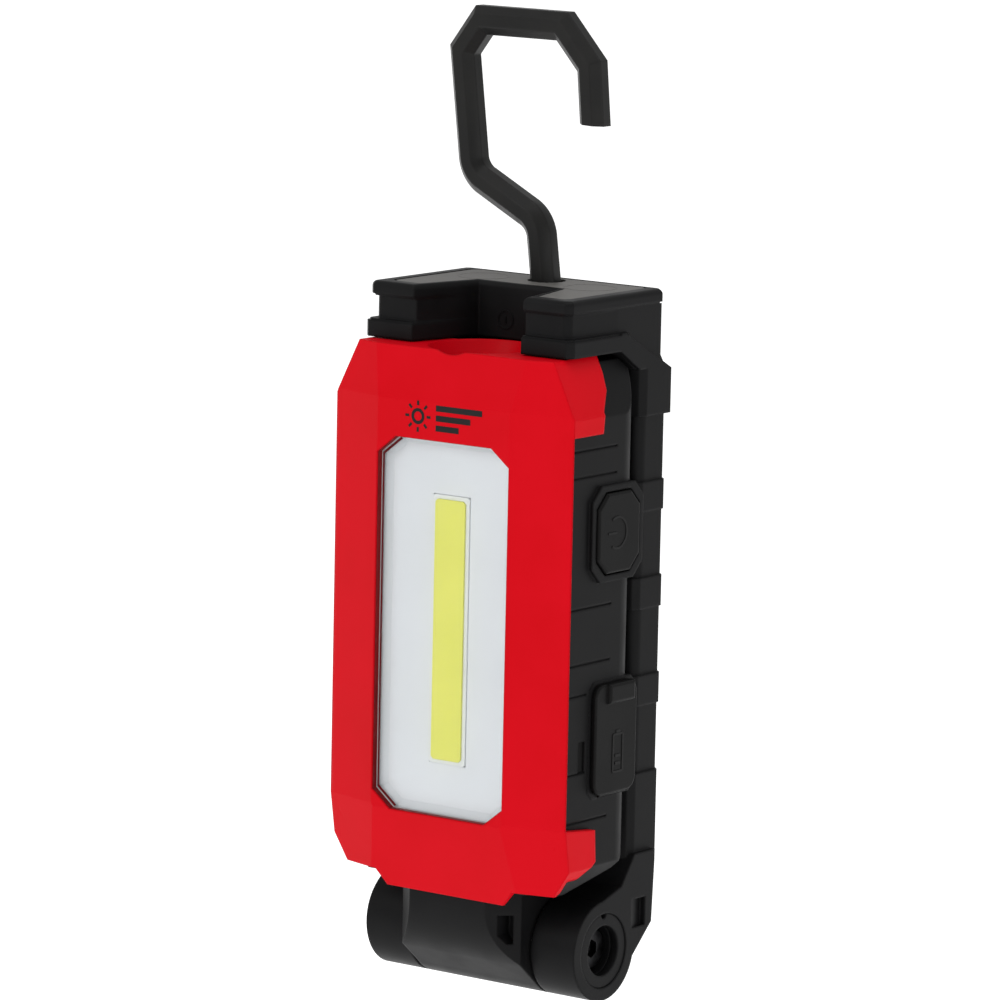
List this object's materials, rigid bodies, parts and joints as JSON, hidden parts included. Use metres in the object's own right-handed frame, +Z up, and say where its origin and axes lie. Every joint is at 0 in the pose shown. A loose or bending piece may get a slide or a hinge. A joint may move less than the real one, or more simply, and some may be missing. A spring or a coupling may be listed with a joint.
{
  "type": "work light",
  "caption": "Rechargeable folding inspection lamp: a faceted red front with a long LED window, a hinged stand, a magnetic top block and a swivelling octagonal hook.",
  "frame": {"origin": "where the lamp hangs: the middle of the underside of the hook's top run, above the hook's stem", "axes": "+Z up along the hook's stem, +X to the lamp's right side (button and port), +Y to the back of the stand; the LED window faces -Y"},
  "size_m": [0.0628, 0.0435, 0.2071],
  "materials": {
    "black_plastic": "fine moulded texture, satin",
    "black_lid": "fine spark-eroded texture, matte",
    "hook_plastic": "satin",
    "red_plastic": "semi-gloss",
    "rubber": "soft matte",
    "clear_lens": "clear polycarbonate",
    "white_plastic": "white, slightly diffuse",
    "led_board": "white solder mask on aluminium",
    "phosphor": "yellow silicone",
    "aluminium": "milled",
    "reflector": "vacuum metallised",
    "steel": "zinc plated",
    "black_steel": "black oxide",
    "magnet": "nickel plated",
    "nickel": "nickel plated",
    "battery_wrap": "shrink sleeve",
    "circuit_board": "green solder mask",
    "component": "moulded epoxy",
    "washer_plastic": "acetal",
    "light_pipe": "translucent"
  },
  "bodies": {
    "stand": {"stand_frame": "black_plastic", "block_lid": "black_lid", "block_magnets": "magnet", "axle_bolt": "black_steel", "axle_nut": "steel", "axle_spring_washer": "steel", "hinge_friction_washers": "washer_plastic", "pivot_cap_right": "black_plastic", "pivot_cap_left": "black_plastic"},
    "lamp_head": {"front_bezel": "red_plastic", "rear_housing": "black_plastic", "housing_gasket": "rubber", "window_lens": "clear_lens", "reflector_tray": "white_plastic", "cob_board": "led_board", "cob_phosphor": "phosphor", "heat_spreader": "aluminium", "torch_lens": "clear_lens", "torch_reflector": "reflector", "torch_led_board": "led_board", "torch_led": "phosphor", "battery_cell": "battery_wrap", "battery_cradle": "black_plastic", "battery_contacts": "nickel", "main_board": "circuit_board", "board_components": "component", "board_screws": "steel", "push_switch": "component", "charging_port": "steel", "charge_light": "light_pipe", "housing_screws": "steel"},
    "hook": {"hook": "hook_plastic", "hook_clip": "steel"},
    "power_button": {"power_button": "rubber", "switch_plunger": "component"},
    "port_cover": {"port_cover": "rubber"}
  },
  "joints": [
    {"name": "head_pivot", "type": "hinge", "parent": "stand", "child": "lamp_head", "pos_m": [0, -0.012, -0.1901], "axis": [1, 0, 0], "range_deg": [0, 180]},
    {"name": "hook_swivel", "type": "hinge", "parent": "stand", "child": "hook", "pos_m": [0, 0, -0.0509], "axis": [0, 0, 1], "continuous": true},
    {"name": "button_press", "type": "slide", "parent": "lamp_head", "child": "power_button", "axis": [-1, 0, 0], "range_m": [0, 0.0006], "stiffness_N_per_m": 3000},
    {"name": "cover_flip", "type": "hinge", "parent": "lamp_head", "child": "port_cover", "pos_m": [0.02975, -0.014, -0.1552], "axis": [0, 1, 0], "range_deg": [0, 90]}
  ]
}
